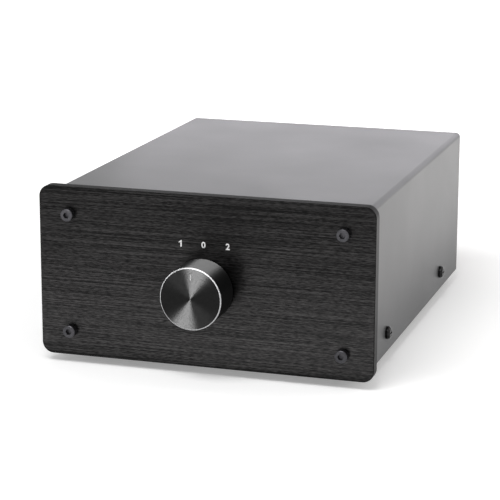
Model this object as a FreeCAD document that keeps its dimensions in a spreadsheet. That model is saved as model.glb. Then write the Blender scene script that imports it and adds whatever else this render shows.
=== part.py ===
import FreeCAD, Part
import math
import os
import re

import Sketcher

# Speaker selector switch: a flat steel case with a thick aluminium front panel, one selector knob on a
# wafer switch, and twelve binding posts on the rear wall.
# Millimetres. X to the right, Y to the back, Z up. The object stands on z = 0, and the origin is the
# middle of its outline on that surface. The front panel faces -Y.

doc = FreeCAD.newDocument("speaker_selector_switch")

SIZES = [
    # Front panel
    ("panel_width", 150, "front panel, side to side"),
    ("panel_height", 75.4, "front panel, bottom to top"),
    ("panel_thickness", 5, "front panel, front to back"),
    ("panel_corner_radius", 5, "rounded corners of the front panel"),
    ("panel_edge_break", 0.3, "bevel round the panel's front face"),
    ("panel_below_case", 2.1, "how far the panel reaches below the case"),
    ("panel_bore", 18, "hole in the panel round the switch nut"),
    # Sheet metal case
    ("case_width", 142, "case, side to side"),
    ("case_height", 70.6, "case, underside to top"),
    ("cover_length", 188, "top cover, front to back"),
    ("cover_sheet", 1, "thickness of the cover's sheet"),
    ("cover_bend_radius", 2.2, "outside radius of the cover's bends"),
    ("chassis_sheet", 1.2, "thickness of the chassis sheet"),
    ("chassis_bend_radius", 2, "outside radius of the chassis bends"),
    ("case_clearance", 0.1, "gap between cover and chassis"),
    ("panel_screw_inset", 9.7, "panel screw axis to the case's side"),
    ("panel_screw_rise", 9, "lower panel screw axis above the case's underside"),
    ("panel_screw_drop", 9.5, "upper panel screw axis below the case's top"),
    ("rear_wall_inset", 1, "rear wall, in from the cover's rear edge"),
    ("flange_height", 18, "side flanges of the chassis"),
    ("flange_relief", 1, "gap at each end of a side flange"),
    ("cover_screw_front", 39, "front cover screw to the panel's front face"),
    ("cover_screw_rear", 150, "rear cover screw to the panel's front face"),
    ("cover_screw_rise", 9, "cover screw axis above the case's underside"),
    # Small screws with 3 mm thread, and what holds them
    ("screw_thread", 3, "thread diameter of the case screws"),
    ("thread_clearance", 0.02, "radial play of a thread in its nut"),
    ("screw_hole_clearance", 0.2, "radial play of a screw in a plain hole"),
    ("cap_head_diameter", 5.5, "panel screw head"),
    ("cap_head_height", 3, "panel screw head"),
    ("cap_head_bevel", 0.3, "bevel of the panel screw head"),
    ("cap_socket", 2.5, "hexagon socket, across flats"),
    ("cap_socket_depth", 1.6, "hexagon socket"),
    ("cap_screw_length", 9, "panel screw below its head"),
    ("pan_head_diameter", 5.8, "pan head"),
    ("pan_head_height", 2.1, "pan head"),
    ("pan_head_round", 1.3, "rounding of the pan head"),
    ("recess_width", 0.8, "cross recess, width of an arm"),
    ("recess_length", 3.2, "cross recess, end to end"),
    ("recess_depth", 1.2, "cross recess"),
    ("cover_screw_length", 6, "cover screw below its head"),
    ("clinch_flange", 6.3, "clinch nut, diameter"),
    ("clinch_height", 1.6, "clinch nut above the sheet"),
    ("clinch_spigot", 4.2, "clinch nut, diameter in the sheet"),
    ("clinch_spigot_length", 0.9, "clinch nut, depth in the sheet"),
    # Feet
    ("foot_height", 6, "rubber foot"),
    ("foot_top", 13, "rubber foot, diameter at the case"),
    ("foot_bottom", 11.6, "rubber foot, diameter at the ground"),
    ("foot_edge", 0.6, "bevel at the foot's lower edge"),
    ("foot_counterbore", 7, "hollow for the screw head"),
    ("foot_counterbore_depth", 3.2, "hollow for the screw head"),
    ("foot_inset_x", 16, "foot axis to the case's side"),
    ("foot_inset_front", 19, "front foot axis to the panel's back"),
    ("foot_inset_rear", 18, "rear foot axis to the cover's rear edge"),
    ("foot_screw_length", 8, "foot screw below its head"),
    ("small_nut", 5.5, "nut of the foot screws, across flats"),
    ("small_nut_height", 2.4, "nut of the foot screws"),
    # Knob
    ("knob_diameter", 27, "selector knob"),
    ("knob_length", 16.5, "selector knob, front to back"),
    ("knob_gap", 1, "gap between knob and panel"),
    ("knob_above_panel_bottom", 34.85, "knob axis above the panel's lower edge"),
    ("knob_bevel", 0.4, "bright bevelled ring"),
    ("knob_edge_break", 0.4, "bevel at the knob's rear edge"),
    ("knob_recess", 17, "hollow in the knob's back, diameter"),
    ("knob_recess_depth", 3.5, "hollow in the knob's back"),
    ("knob_bore_depth", 13, "shaft bore, from the knob's back"),
    ("knob_fit", 0.02, "radial play of the knob on its shaft"),
    ("mark_width", 0.5, "engraved index mark"),
    ("mark_length", 2.8, "engraved index mark"),
    ("mark_depth", 0.3, "engraved index mark"),
    ("mark_inset", 2.4, "index mark to the knob's edge"),
    ("set_screw_diameter", 4, "set screw of the knob"),
    ("set_screw_length", 8.5, "set screw of the knob"),
    ("set_screw_place", 8.5, "set screw axis to the knob's back"),
    ("set_screw_socket", 2, "hexagon socket, across flats"),
    ("set_screw_socket_depth", 2, "hexagon socket"),
    # Rotary switch, from front to back
    ("bushing_diameter", 10, "threaded bushing"),
    ("bushing_length", 6.5, "bushing in front of the switch plate"),
    ("bushing_hole_clearance", 0.1, "radial play of the bushing in the front wall"),
    ("switch_nut", 14, "nut on the bushing, across flats"),
    ("switch_nut_height", 2.5, "nut on the bushing"),
    ("lock_washer", 15, "washer under the nut"),
    ("lock_washer_height", 0.8, "washer under the nut"),
    ("locating_pin", 2.5, "pin that keeps the switch from turning"),
    ("locating_pin_drop", 11, "pin below the switch axis"),
    ("shaft_diameter", 6, "switch shaft"),
    ("shaft_play", 0.04, "radial running fit of the shaft"),
    ("shaft_flat_length", 10, "flat for the set screw"),
    ("shaft_flat_height", 1.5, "flat, from the shaft's axis"),
    ("shaft_end_gap", 0.5, "shaft's end to the bottom of the knob's bore"),
    ("groove_diameter", 4.8, "groove for the shaft clip"),
    ("groove_width", 0.8, "groove for the shaft clip"),
    ("clip_diameter", 9, "shaft clip"),
    ("clip_thickness", 0.7, "shaft clip"),
    ("clip_gap", 0.1, "end play of the clip at the bushing"),
    ("tang_width", 5, "flat tang of the shaft in the rotors"),
    ("tang_thickness", 1.6, "flat tang of the shaft in the rotors"),
    ("tang_play", 0.02, "play of the tang in the rotors"),
    ("tang_overhang", 1.5, "tang behind the last rotor"),
    ("switch_plate", 1.5, "front plate of the switch, thickness"),
    ("plate_width", 44, "switch plates, side to side"),
    ("plate_height", 38, "switch plates, bottom to top"),
    ("plate_corner", 3, "corner radius of the switch plates"),
    ("detent_space", 6, "between the switch plates"),
    ("index_plate", 1, "second plate of the switch, thickness"),
    ("plate_hole_play", 0.4, "radial play of the shaft in the index plate"),
    ("tie_screw_x", 18, "tie screws, left and right of the axis"),
    ("tie_tail", 0.2, "tie screw's end, back from the plate's front"),
    ("sleeve_diameter", 5, "spacer sleeves"),
    ("wafer_gap", 10, "spacer sleeves between plate and wafers"),
    ("wafer_thickness", 1.6, "switch wafers"),
    ("wafer_diameter", 34, "switch wafers"),
    ("wafer_ear", 8, "ear of a wafer, bottom to top"),
    ("wafer_bore", 16, "opening of a wafer round its rotor"),
    ("rotor_play", 0.08, "radial play of the rotor in the wafer"),
    ("blade_thickness", 0.3, "conducting blade on a rotor"),
    ("blade_gap", 0.05, "blade to the terminals over it"),
    ("blade_inner", 4, "inner radius of the blade's ring"),
    ("blade_ring", 5.6, "outer radius of the blade's ring"),
    ("blade_finger", 7.4, "outer radius of the blade's finger"),
    ("finger_angle", 14, "width of the blade's finger, degrees"),
    ("terminal_width", 2.8, "soldering terminal"),
    ("terminal_thickness", 0.4, "soldering terminal"),
    ("terminal_reach", 22, "outer end of a terminal, from the axis"),
    ("terminal_tip", 6.1, "inner end of a position terminal"),
    ("common_tip", 4.6, "inner end of a common terminal"),
    ("terminal_eye", 1.3, "hole for the wire"),
    ("wire_radius_place", 20.2, "wire on a terminal, from the axis"),
    ("station_angle", 30, "angle from one position to the next, degrees"),
    # Detent
    ("wheel_diameter", 17, "detent wheel"),
    ("wheel_thickness", 2.5, "detent wheel"),
    ("wheel_notches", 12, "notches round the detent wheel"),
    ("ball_diameter", 3.2, "detent ball"),
    ("ball_travel", 0.5, "ball from a crest of the wheel into a notch"),
    ("ball_gap", 0.05, "ball to the wheel's crests, and to the notch"),
    ("guide_play", 0.05, "radial play of the ball in its guide"),
    ("guide_width", 8, "detent guide, side to side"),
    ("guide_gap", 0.3, "detent guide above the wheel"),
    ("guide_top", 17.5, "detent guide's top, above the axis"),
    ("guide_roof", 1.5, "detent guide above the spring"),
    ("spring_radius", 1.2, "coil spring, axis to wire centre"),
    ("spring_wire", 0.4, "coil spring"),
    ("spring_turns", 5, "coil spring"),
    # Binding posts, from the rear wall outwards
    ("post_pitch", 19, "plus post to minus post"),
    ("group_pitch", 48, "group of posts to the next group"),
    ("post_row_low", 26, "lower row of posts above the ground"),
    ("post_row_high", 57, "upper row of posts above the ground"),
    ("stud_diameter", 4, "post's threaded stud"),
    ("stud_clearance", 0.1, "radial play of the stud in its insulators"),
    ("stud_overhang", 1.2, "stud beyond the last nut"),
    ("collar_diameter", 13, "outer insulating collar"),
    ("collar_height", 5.5, "outer insulating collar"),
    ("collar_bevel", 0.6, "bevel of the collar"),
    ("collar_spigot", 8, "collar inside the rear wall, diameter"),
    ("collar_spigot_length", 1, "collar inside the rear wall"),
    ("collar_hole_clearance", 0.1, "radial play of the collar in the rear wall"),
    ("flange_diameter", 9, "post's metal flange"),
    ("flange_thickness", 1.5, "post's metal flange, sunk in the collar"),
    ("post_diameter", 7, "post's thread under the cap"),
    ("cap_play", 0.05, "radial play of cap and clamping washer on the post"),
    ("post_setback", 1.5, "post's end inside the closed cap"),
    ("post_bevel", 0.4, "bevels at the post's end"),
    ("socket_diameter", 4, "plug socket in the post"),
    ("socket_depth", 11.5, "plug socket in the post"),
    ("wire_hole", 3, "cross hole for a bare wire"),
    ("wire_hole_place", 2.1, "cross hole's axis above the flange"),
    ("clamp_washer_diameter", 10, "clamping washer"),
    ("clamp_washer_height", 0.8, "clamping washer"),
    ("cap_diameter", 11.6, "screw cap"),
    ("cap_length", 16, "screw cap"),
    ("cap_foot", 2.6, "plain foot of the screw cap"),
    ("cap_bevel", 0.7, "bevels of the screw cap"),
    ("flute_diameter", 1.5, "grip flutes of the cap"),
    ("flute_depth", 0.45, "grip flutes of the cap"),
    ("flutes", 16, "grip flutes round a cap"),
    ("insulator_diameter", 12, "inner insulator"),
    ("insulator_height", 2.5, "inner insulator"),
    ("post_nut", 7, "nuts of the posts, across flats"),
    ("post_nut_height", 3.2, "nuts of the posts"),
    ("lug_thickness", 0.5, "soldering lug"),
    ("lug_ring", 8, "soldering lug's ring"),
    ("lug_tail", 12, "end of the lug's tail, from the stud's axis"),
    ("lug_width", 3.4, "soldering lug's tail"),
    ("lug_wire_place", 10, "wire on the lug's tail, from the stud's axis"),
    # Internal wires
    ("wire_diameter", 2.2, "insulated wire"),
    ("wire_lead", 5, "straight start of a front wafer's wire, and the slant after it"),
    ("wire_spread", 5.5, "front wafer's wires, out past the rear wafer"),
    ("front_speaker_run", 45, "front wafer's loudspeaker wires, straight run past the switch"),
    ("front_amp_1_run", 16, "front wafer's first amplifier wires, straight run past the switch"),
    ("front_amp_2_run", 45, "front wafer's second amplifier wires, straight run past the switch"),
    ("rear_speaker_run", 16, "rear wafer's loudspeaker wires, straight run past the switch"),
    ("rear_amp_1_run", 8, "rear wafer's first amplifier wires, straight run past the switch"),
    ("rear_amp_2_run", 24, "rear wafer's second amplifier wires, straight run past the switch"),
    ("left_landing", 14, "straight end of a wire at a lug of the upper row"),
    ("right_landing", 50, "straight end of a wire at a lug of the lower row"),
]

PLACES = [
    ("knob_reach", "knob_gap + knob_length"),
    ("post_reach", "collar_height + clamp_washer_height + cap_length"),
    ("case_reach", "panel_thickness + cover_length - rear_wall_inset"),
    ("front_y", "(knob_reach - case_reach - post_reach) / 2"),
    ("panel_back_y", "front_y + panel_thickness"),
    ("chassis_depth", "cover_length - rear_wall_inset"),
    ("rear_face_y", "panel_back_y + chassis_depth"),
    ("rear_inner_y", "rear_face_y - chassis_sheet"),
    ("chassis_width", "case_width - 2 * cover_sheet - 2 * case_clearance"),
    ("case_top_z", "foot_height + case_height"),
    ("wall_top_z", "case_top_z - cover_sheet - case_clearance"),
    ("panel_bottom_z", "foot_height - panel_below_case"),
    ("floor_z", "foot_height + chassis_sheet"),
    ("panel_screw_x", "case_width / 2 - panel_screw_inset"),
    ("panel_screw_low_z", "foot_height + panel_screw_rise"),
    ("panel_screw_high_z", "case_top_z - panel_screw_drop"),
    ("cover_screw_front_y", "front_y + cover_screw_front"),
    ("cover_screw_rear_y", "front_y + cover_screw_rear"),
    ("cover_screw_z", "foot_height + cover_screw_rise"),
    ("foot_x", "case_width / 2 - foot_inset_x"),
    ("foot_front_y", "panel_back_y + foot_inset_front"),
    ("foot_rear_y", "panel_back_y + cover_length - foot_inset_rear"),
    ("screw_bore", "screw_thread + 2 * thread_clearance"),
    ("screw_hole", "screw_thread + 2 * screw_hole_clearance"),
    ("knob_z", "panel_bottom_z + knob_above_panel_bottom"),
    ("knob_back_y", "front_y - knob_gap"),
    ("set_screw_y", "knob_back_y - set_screw_place"),
    ("plate_y", "panel_back_y + chassis_sheet"),
    ("detent_y", "plate_y + switch_plate"),
    ("index_plate_y", "detent_y + detent_space"),
    ("sleeve_1_y", "index_plate_y + index_plate"),
    ("wafer_1_y", "sleeve_1_y + wafer_gap"),
    ("sleeve_2_y", "wafer_1_y + wafer_thickness"),
    ("wafer_2_y", "sleeve_2_y + wafer_gap"),
    ("switch_end_y", "wafer_2_y + wafer_thickness"),
    ("shaft_front", "plate_y - knob_back_y + knob_bore_depth - shaft_end_gap"),
    ("tang_back", "switch_end_y - plate_y + tang_overhang"),
    ("blade_y", "wafer_thickness - blade_gap"),
    ("rotor_thickness", "wafer_thickness - blade_gap - blade_thickness"),
    ("ball_crest", "wheel_diameter / 2 + ball_gap + ball_diameter / 2"),
    ("ball_seat", "ball_crest - ball_travel"),
    ("detent_middle_y", "detent_y + detent_space / 2"),
    ("spring_foot", "ball_crest + sqrt((ball_diameter / 2 + spring_wire / 2)^2 - spring_radius^2)"),
    ("spring_head", "guide_top - guide_roof - spring_wire / 2"),
    ("post_end", "collar_height + clamp_washer_height + cap_length - post_setback"),
    ("stud_end", "chassis_sheet + insulator_height + 2 * post_nut_height + lug_thickness + stud_overhang"),
    ("insulator_y", "rear_inner_y - insulator_height"),
    ("nut_1_y", "insulator_y - post_nut_height"),
    ("lug_y", "nut_1_y - lug_thickness"),
    ("nut_2_y", "lug_y - post_nut_height"),
]

HOMES = {row[0]: "Sizes." for row in SIZES}
HOMES.update({row[0]: "Places." for row in PLACES})


def formula(text):
    """Give every named value in the text the sheet it is kept in."""
    return re.sub(r"[a-z][a-z0-9_]*", lambda word: HOMES.get(word.group(), "") + word.group(), str(text))


sizes = doc.addObject("Spreadsheet::Sheet", "Sizes")
for row, (alias, value, meaning) in enumerate(SIZES, start=1):
    sizes.set(f"A{row}", meaning)
    sizes.set(f"B{row}", str(value))
    sizes.setAlias(f"B{row}", alias)
doc.recompute()

places = doc.addObject("Spreadsheet::Sheet", "Places")
for row, (alias, rule) in enumerate(PLACES, start=1):
    places.set(f"A{row}", alias)
    places.set(f"B{row}", "=" + formula(rule))
    places.setAlias(f"B{row}", alias)
    places.recompute()


def value_of(text):
    """The number that a formula gives, in millimetres or degrees."""
    return float(sizes.evalExpression(formula(text)))


# Directions for a turned piece, whose own axis is +Z
TO_FRONT = FreeCAD.Rotation(FreeCAD.Vector(1, 0, 0), 90)
TO_BACK = FreeCAD.Rotation(FreeCAD.Vector(1, 0, 0), -90)
TO_RIGHT = FreeCAD.Rotation(FreeCAD.Vector(0, 1, 0), 90)
TO_LEFT = FreeCAD.Rotation(FreeCAD.Vector(0, 1, 0), -90)
DOWN = FreeCAD.Rotation(FreeCAD.Vector(1, 0, 0), 180)
UPRIGHT = FreeCAD.Rotation()

ALONG_X = FreeCAD.Vector(1, 0, 0)
ALONG_Y = FreeCAD.Vector(0, 1, 0)
TINY = 1e-4

nodes = []


def node(piece, label):
    """Count this object as a sub-part of the assembly, under its own name."""
    piece.Label = label
    nodes.append(piece)
    return piece


def place(piece, x=0, y=0, z=0, turn=UPRIGHT):
    """Put a piece at a point that follows the sheets."""
    piece.Placement = FreeCAD.Placement(FreeCAD.Vector(), turn)
    for axis, text in (("x", x), ("y", y), ("z", z)):
        if text != 0:
            piece.setExpression(f"Placement.Base.{axis}", formula(text))
    return piece


def link_to(master, spot):
    """A linked copy of the master piece, at a spot of (x, y, z, turn)."""
    link = place(doc.addObject("App::Link", f"{master.Name}_copy"), *spot)
    link.LinkedObject = master
    return link


def set_of(label, masters_and_spots):
    """A node of several separate solids, each a linked copy of a master piece."""
    group = doc.addObject("Part::Compound", label)
    group.Links = [link_to(master, spot) for master, spot in masters_and_spots]
    return node(group, label)


def new_body(name):
    """An empty body."""
    return doc.addObject("PartDesign::Body", name)


def new_sketch(body, plane="XZ_Plane", offset=None):
    """A sketch on one of the body's origin planes, moved along that plane's normal."""
    sketch = body.newObject("Sketcher::SketchObject", f"{body.Name}_sketch")
    support = next(feature for feature in body.Origin.OriginFeatures if feature.Role == plane)
    sketch.AttachmentSupport = (support, "")
    sketch.MapMode = "FlatFace"
    if offset is not None:
        sketch.setExpression("AttachmentOffset.Base.z", formula(offset))
    return sketch


def pin_point(sketch, shape, end, x, y):
    """Tie one point of a sketch to its place."""
    for kind, text in (("DistanceX", x), ("DistanceY", y)):
        row = sketch.addConstraint(Sketcher.Constraint(kind, -1, 1, shape, end, value_of(text)))
        sketch.setExpression(f"Constraints[{row}]", formula(text))


def draw_outline(sketch, points):
    """A closed outline of straight lines through the points."""
    corners = [FreeCAD.Vector(value_of(x), value_of(y), 0) for x, y in points]
    first = len(sketch.Geometry)
    count = len(points)
    for index in range(count):
        sketch.addGeometry(Part.LineSegment(corners[index], corners[(index + 1) % count]))
    for index in range(count):
        sketch.addConstraint(
            Sketcher.Constraint("Coincident", first + index, 2, first + (index + 1) % count, 1)
        )
        pin_point(sketch, first + index, 1, *points[index])


def draw_rectangle(sketch, x, y, width, height):
    """A rectangle round a middle point."""
    draw_outline(
        sketch,
        [
            (f"{x} - ({width}) / 2", f"{y} - ({height}) / 2"),
            (f"{x} + ({width}) / 2", f"{y} - ({height}) / 2"),
            (f"{x} + ({width}) / 2", f"{y} + ({height}) / 2"),
            (f"{x} - ({width}) / 2", f"{y} + ({height}) / 2"),
        ],
    )


def draw_hexagon(sketch, across):
    """A hexagon round the origin, by its width across flats."""
    corner = f"{across} / sqrt(3)"
    flat = f"{across} / 2"
    draw_outline(
        sketch,
        [
            (corner, 0),
            (f"{corner} / 2", flat),
            (f"-{corner} / 2", flat),
            (f"-{corner}", 0),
            (f"-{corner} / 2", f"-{flat}"),
            (f"{corner} / 2", f"-{flat}"),
        ],
    )


def draw_circle(sketch, x, y, diameter):
    """A circle."""
    middle = FreeCAD.Vector(value_of(x), value_of(y), 0)
    ring = sketch.addGeometry(Part.Circle(middle, FreeCAD.Vector(0, 0, 1), value_of(diameter) / 2))
    pin_point(sketch, ring, 3, x, y)
    row = sketch.addConstraint(Sketcher.Constraint("Diameter", ring, value_of(diameter)))
    sketch.setExpression(f"Constraints[{row}]", formula(diameter))


def pad(body, sketch, length, backwards=False, both_ways=False):
    """Solid from a sketch. An XZ sketch grows to the front, or backwards to +Y."""
    feature = body.newObject("PartDesign::Pad", f"{body.Name}_pad")
    feature.Profile = sketch
    feature.setExpression("Length", formula(length))
    feature.Reversed = backwards
    feature.Midplane = both_ways
    return feature


def pocket(body, sketch, depth=None, backwards=False):
    """Cut from a sketch: against its plane's normal, or right through both ways with no depth."""
    feature = body.newObject("PartDesign::Pocket", f"{body.Name}_pocket")
    feature.Profile = sketch
    if depth is None:
        feature.Type = "ThroughAll"
        feature.Midplane = True
    else:
        feature.setExpression("Length", formula(depth))
        feature.Reversed = backwards
    return feature


def turned(name, profile):
    """A body of revolution round its own Z axis, from (radius, height) points."""
    body = new_body(name)
    sketch = new_sketch(body, "XZ_Plane")
    draw_outline(sketch, profile)
    feature = body.newObject("PartDesign::Revolution", f"{name}_turned")
    feature.Profile = sketch
    feature.ReferenceAxis = (sketch, ["V_Axis"])
    feature.Angle = 360
    return body


def round_edges(body, radius, wanted, kind="Fillet"):
    """Fillet or bevel those edges of the body that the test picks out."""
    doc.recompute()
    base = body.Tip
    names = [f"Edge{number}" for number, edge in enumerate(base.Shape.Edges, start=1) if wanted(edge)]
    feature = body.newObject(f"PartDesign::{kind}", f"{body.Name}_{kind.lower()}")
    feature.Base = (base, names)
    feature.setExpression("Radius" if kind == "Fillet" else "Size", formula(radius))
    return feature


def runs_along(edge, axis):
    """Whether an edge is straight and parallel to an axis."""
    if not isinstance(edge.Curve, Part.Line):
        return False
    return abs(abs(edge.Curve.Direction.dot(axis)) - 1) < TINY


def lies_at(edge, **spots):
    """Whether the middle of an edge has these coordinates."""
    box = edge.BoundBox
    middle = {"x": box.Center.x, "y": box.Center.y, "z": box.Center.z}
    return all(abs(middle[axis] - value_of(text)) < TINY for axis, text in spots.items())


# Fasteners


def hex_nut(name, across, height, bore):
    """A plain hexagon nut, standing on its own origin."""
    body = new_body(name)
    sketch = new_sketch(body, "XY_Plane")
    draw_hexagon(sketch, across)
    draw_circle(sketch, 0, 0, bore)
    pad(body, sketch, height)
    return body


def cap_screw():
    """A cylinder head screw with a hexagon socket, seated at its origin."""
    radius = "cap_head_diameter / 2"
    body = turned(
        "cap_screw",
        [
            (0, "-cap_screw_length"),
            ("screw_thread / 2", "-cap_screw_length"),
            ("screw_thread / 2", 0),
            (radius, 0),
            (radius, "cap_head_height - cap_head_bevel"),
            (f"{radius} - cap_head_bevel", "cap_head_height"),
            (0, "cap_head_height"),
        ],
    )
    sketch = new_sketch(body, "XY_Plane", "cap_head_height")
    draw_hexagon(sketch, "cap_socket")
    pocket(body, sketch, "cap_socket_depth")
    return body


def pan_screw(name, length):
    """A pan head screw with a cross recess, seated at its origin."""
    body = turned(
        name,
        [
            (0, f"-{length}"),
            ("screw_thread / 2", f"-{length}"),
            ("screw_thread / 2", 0),
            ("pan_head_diameter / 2", 0),
            ("pan_head_diameter / 2", "pan_head_height"),
            (0, "pan_head_height"),
        ],
    )
    rim = value_of("pan_head_diameter")
    top = value_of("pan_head_height")
    round_edges(
        body,
        "pan_head_round",
        lambda edge: abs(edge.BoundBox.XLength - rim) < TINY and abs(edge.BoundBox.ZMin - top) < TINY,
    )
    sketch = new_sketch(body, "XY_Plane", "pan_head_height")
    arm = "recess_width / 2"
    end = "recess_length / 2"
    draw_outline(
        sketch,
        [
            (arm, arm), (arm, end), (f"-{arm}", end), (f"-{arm}", arm),
            (f"-{end}", arm), (f"-{end}", f"-{arm}"), (f"-{arm}", f"-{arm}"), (f"-{arm}", f"-{end}"),
            (arm, f"-{end}"), (arm, f"-{arm}"), (end, f"-{arm}"), (end, arm),
        ],
    )
    pocket(body, sketch, "recess_depth")
    return body


def clinch_nut():
    """A round nut clinched in a sheet, whose inner face is the origin."""
    return turned(
        "clinch_nut",
        [
            ("screw_bore / 2", "-clinch_height"),
            ("clinch_flange / 2", "-clinch_height"),
            ("clinch_flange / 2", 0),
            ("clinch_spigot / 2", 0),
            ("clinch_spigot / 2", "clinch_spigot_length"),
            ("screw_bore / 2", "clinch_spigot_length"),
        ],
    )


# Case


PANEL_SCREWS = [
    (side, height)
    for side in ("panel_screw_x", "-panel_screw_x")
    for height in ("panel_screw_low_z", "panel_screw_high_z")
]
COVER_SCREW_YS = ("cover_screw_front_y", "cover_screw_rear_y")
FEET = [(side, depth) for side in ("foot_x", "-foot_x") for depth in ("foot_front_y", "foot_rear_y")]


def front_panel():
    """Thick plate with rounded corners, four screw holes and the switch's opening."""
    body = new_body("front_panel")
    sketch = new_sketch(body)
    draw_rectangle(sketch, 0, "panel_bottom_z + panel_height / 2", "panel_width", "panel_height")
    pad(body, sketch, "panel_thickness", backwards=True)
    round_edges(body, "panel_corner_radius", lambda edge: runs_along(edge, ALONG_Y))
    round_edges(body, "panel_edge_break", lambda edge: edge.BoundBox.YMax < TINY, kind="Chamfer")
    holes = new_sketch(body)
    for x, z in PANEL_SCREWS:
        draw_circle(holes, x, z, "screw_hole")
    draw_circle(holes, 0, "knob_z", "panel_bore")
    pocket(body, holes)
    return place(node(body, "front_panel"), y="front_y")


def chassis():
    """Bent tray: front wall, bottom, rear wall and two side flanges."""
    body = new_body("chassis")
    side_view = new_sketch(body, "YZ_Plane")
    draw_outline(
        side_view,
        [
            (0, "foot_height"),
            ("chassis_depth", "foot_height"),
            ("chassis_depth", "wall_top_z"),
            ("chassis_depth - chassis_sheet", "wall_top_z"),
            ("chassis_depth - chassis_sheet", "floor_z"),
            ("chassis_sheet", "floor_z"),
            ("chassis_sheet", "wall_top_z"),
            (0, "wall_top_z"),
        ],
    )
    pad(body, side_view, "chassis_width", both_ways=True)
    flanges = new_sketch(body, "XY_Plane", "foot_height")
    for side in ("", "-"):
        draw_rectangle(
            flanges,
            f"{side}(chassis_width - chassis_sheet) / 2",
            "chassis_depth / 2",
            "chassis_sheet",
            "chassis_depth - 2 * chassis_sheet - 2 * flange_relief",
        )
    pad(body, flanges, "flange_height")
    inner_radius = "chassis_bend_radius - chassis_sheet"
    round_edges(
        body,
        "chassis_bend_radius",
        lambda edge: runs_along(edge, ALONG_X)
        and (lies_at(edge, y=0, z="foot_height") or lies_at(edge, y="chassis_depth", z="foot_height")),
    )
    round_edges(
        body,
        inner_radius,
        lambda edge: runs_along(edge, ALONG_X)
        and (
            lies_at(edge, y="chassis_sheet", z="floor_z")
            or lies_at(edge, y="chassis_depth - chassis_sheet", z="floor_z")
        ),
    )
    round_edges(
        body,
        "cover_bend_radius - cover_sheet",
        lambda edge: runs_along(edge, ALONG_Y) and lies_at(edge, z="wall_top_z"),
    )
    front_holes = new_sketch(body)
    for x, z in PANEL_SCREWS:
        draw_circle(front_holes, x, z, "clinch_spigot")
    draw_circle(front_holes, 0, "knob_z", "bushing_diameter + 2 * bushing_hole_clearance")
    draw_circle(front_holes, 0, "knob_z - locating_pin_drop", "locating_pin + 2 * bushing_hole_clearance")
    pocket(body, front_holes, "2 * chassis_sheet")
    rear_holes = new_sketch(body, "XZ_Plane", "-(chassis_depth - 2 * chassis_sheet)")
    for x, z in POSTS.values():
        draw_circle(rear_holes, x, z, "collar_spigot + 2 * collar_hole_clearance")
    pocket(body, rear_holes, "3 * chassis_sheet")
    side_holes = new_sketch(body, "YZ_Plane")
    for y in COVER_SCREW_YS:
        draw_circle(side_holes, f"{y} - panel_back_y", "cover_screw_z", "clinch_spigot")
    pocket(body, side_holes)
    floor_holes = new_sketch(body, "XY_Plane")
    for x, y in FEET:
        draw_circle(floor_holes, x, f"{y} - panel_back_y", "screw_hole")
    pocket(body, floor_holes)
    return place(node(body, "chassis"), y="panel_back_y")


def top_cover():
    """One bent sheet over the chassis: top and both sides."""
    body = new_body("top_cover")
    front_view = new_sketch(body)
    outer = "case_width / 2"
    inner = "(case_width / 2 - cover_sheet)"
    draw_outline(
        front_view,
        [
            (f"-{outer}", "foot_height"),
            (f"-{outer}", "case_top_z"),
            (outer, "case_top_z"),
            (outer, "foot_height"),
            (inner, "foot_height"),
            (inner, "case_top_z - cover_sheet"),
            (f"-{inner}", "case_top_z - cover_sheet"),
            (f"-{inner}", "foot_height"),
        ],
    )
    pad(body, front_view, "cover_length", backwards=True)
    round_edges(
        body, "cover_bend_radius", lambda edge: runs_along(edge, ALONG_Y) and lies_at(edge, z="case_top_z")
    )
    round_edges(
        body,
        "cover_bend_radius - cover_sheet",
        lambda edge: runs_along(edge, ALONG_Y) and lies_at(edge, z="case_top_z - cover_sheet"),
    )
    holes = new_sketch(body, "YZ_Plane")
    for y in COVER_SCREW_YS:
        draw_circle(holes, f"{y} - panel_back_y", "cover_screw_z", "screw_hole")
    pocket(body, holes)
    return place(node(body, "top_cover"), y="panel_back_y")


def rubber_foot():
    """Tapered foot with a hollow for its screw."""
    return turned(
        "rubber_foot",
        [
            ("foot_counterbore / 2", 0),
            ("foot_bottom / 2 - foot_edge", 0),
            ("foot_bottom / 2", "foot_edge"),
            ("foot_top / 2", "foot_height"),
            ("screw_hole / 2", "foot_height"),
            ("screw_hole / 2", "foot_counterbore_depth"),
            ("foot_counterbore / 2", "foot_counterbore_depth"),
        ],
    )


def case_fasteners():
    """Screws, clinch nuts and feet of the case."""
    screw = cap_screw()
    set_of("panel_screws", [(screw, (x, "front_y", z, TO_FRONT)) for x, z in PANEL_SCREWS])
    side_screw = pan_screw("side_screw", "cover_screw_length")
    sides = [("case_width / 2", TO_RIGHT), ("-case_width / 2", TO_LEFT)]
    set_of(
        "cover_screws",
        [(side_screw, (x, y, "cover_screw_z", turn)) for x, turn in sides for y in COVER_SCREW_YS],
    )
    clinch = clinch_nut()
    flange_inside = "chassis_width / 2 - chassis_sheet"
    flanges = [(flange_inside, TO_RIGHT), (f"-({flange_inside})", TO_LEFT)]
    set_of(
        "clinch_nuts",
        [(clinch, (x, "plate_y", z, TO_FRONT)) for x, z in PANEL_SCREWS]
        + [(clinch, (x, y, "cover_screw_z", turn)) for x, turn in flanges for y in COVER_SCREW_YS],
    )
    foot = rubber_foot()
    set_of("rubber_feet", [(foot, (x, y, 0, UPRIGHT)) for x, y in FEET])
    foot_screw = pan_screw("foot_screw", "foot_screw_length")
    set_of("foot_screws", [(foot_screw, (x, y, "foot_counterbore_depth", DOWN)) for x, y in FEET])
    small_nut = hex_nut("small_nut", "small_nut", "small_nut_height", "screw_bore")
    set_of("foot_nuts", [(small_nut, (x, y, "floor_z", UPRIGHT)) for x, y in FEET])


# Selector: knob, shaft and what turns with them


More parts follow.
